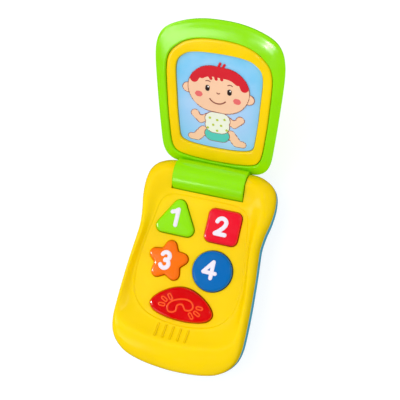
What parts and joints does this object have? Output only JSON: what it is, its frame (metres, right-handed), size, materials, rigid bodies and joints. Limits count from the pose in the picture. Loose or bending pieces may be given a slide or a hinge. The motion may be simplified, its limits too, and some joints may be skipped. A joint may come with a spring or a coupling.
{
  "type": "toy cell phone",
  "caption": "Toy flip phone with a hinged picture lid, shape keys, a wide call key, speaker slots, a slide switch and a screwed battery door.",
  "frame": {"origin": "centre of the flat back, on the outer face of the battery door, which is the plane the phone lies on", "axes": "+X to the right as the keys are read, +Y from the chin with the speaker to the hinge, +Z out of the keypad"},
  "size_m": [0.084, 0.2034, 0.0919],
  "materials": {
    "yellow_abs": "moulded gloss",
    "green_abs": "moulded gloss",
    "cyan_abs": "moulded gloss",
    "red_key": "moulded gloss",
    "orange_key": "moulded gloss",
    "blue_key": "moulded gloss",
    "red_lens": "tinted clear plastic over a lamp, polished",
    "digit_white": "pad-printed ink",
    "picture": "printed card",
    "steel": "zinc plated",
    "contact_brass": "plated strip",
    "board": "phenolic board",
    "dome_rubber": "silicone",
    "black_plastic": "satin",
    "speaker_paper": "film cone",
    "led_clear": "clear resin",
    "cell_wrap": "shrink wrap",
    "red_wire": "pvc insulation"
  },
  "bodies": {
    "phone": {"front_shell": "yellow_abs", "rear_shell": "cyan_abs", "battery_door": "cyan_abs", "door_screw": "steel", "case_screw_1": "steel", "case_screw_2": "steel", "case_screw_3": "steel", "case_screw_4": "steel", "circuit_board": "board", "board_screw_1": "steel", "board_screw_2": "steel", "board_screw_3": "steel", "rubber_dome_1": "dome_rubber", "rubber_dome_2": "dome_rubber", "rubber_dome_3": "dome_rubber", "rubber_dome_4": "dome_rubber", "rubber_dome_call": "dome_rubber", "speaker_frame": "steel", "speaker_cone": "speaker_paper", "led": "led_clear", "battery_1": "cell_wrap", "battery_2": "cell_wrap", "battery_spring_1": "steel", "battery_spring_2": "steel", "contact_plus": "contact_brass", "contact_minus": "contact_brass", "contact_bridge": "contact_brass", "switch_body": "steel", "hinge_pin_left": "steel", "hinge_pin_right": "steel", "speaker_wire_red": "red_wire", "speaker_wire_black": "black_plastic", "battery_wire_red": "red_wire", "battery_wire_black": "black_plastic"},
    "lid": {"lid_frame": "green_abs", "lid_cover": "green_abs", "picture_bezel": "yellow_abs", "picture_card": "picture", "lid_screw_1": "steel", "lid_screw_2": "steel", "lid_screw_3": "steel", "lid_screw_4": "steel"},
    "key_1": {"button_1_triangle": "green_abs"},
    "key_2": {"button_2_square": "red_key"},
    "key_3": {"button_3_star": "orange_key"},
    "key_4": {"button_4_circle": "blue_key"},
    "key_call": {"button_call": "red_lens"},
    "switch": {"switch_knob": "black_plastic"}
  },
  "joints": [
    {"name": "lid_hinge", "type": "hinge", "parent": "phone", "child": "lid", "pos_m": [0, 0.05666, 0.02621], "axis": [1, 0, 0], "range_deg": [0, 135.84]},
    {"name": "key_1_press", "type": "slide", "parent": "phone", "child": "key_1", "axis": [0, 0, -1], "range_m": [0, 0.0015], "stiffness_N_per_m": 250, "springref_m": -0.0004, "deforming": ["rubber_dome_1"]},
    {"name": "key_2_press", "type": "slide", "parent": "phone", "child": "key_2", "axis": [0, 0, -1], "range_m": [0, 0.0015], "stiffness_N_per_m": 250, "springref_m": -0.0004, "deforming": ["rubber_dome_2"]},
    {"name": "key_3_press", "type": "slide", "parent": "phone", "child": "key_3", "axis": [0, 0, -1], "range_m": [0, 0.0015], "stiffness_N_per_m": 250, "springref_m": -0.0004, "deforming": ["rubber_dome_3"]},
    {"name": "key_4_press", "type": "slide", "parent": "phone", "child": "key_4", "axis": [0, 0, -1], "range_m": [0, 0.0015], "stiffness_N_per_m": 250, "springref_m": -0.0004, "deforming": ["rubber_dome_4"]},
    {"name": "key_call_press", "type": "slide", "parent": "phone", "child": "key_call", "axis": [0, 0, -1], "range_m": [0, 0.0015], "stiffness_N_per_m": 250, "springref_m": -0.0004, "deforming": ["rubber_dome_call"]},
    {"name": "switch_slide", "type": "slide", "parent": "phone", "child": "switch", "axis": [1, 0, 0], "range_m": [0, 0.004]}
  ]
}
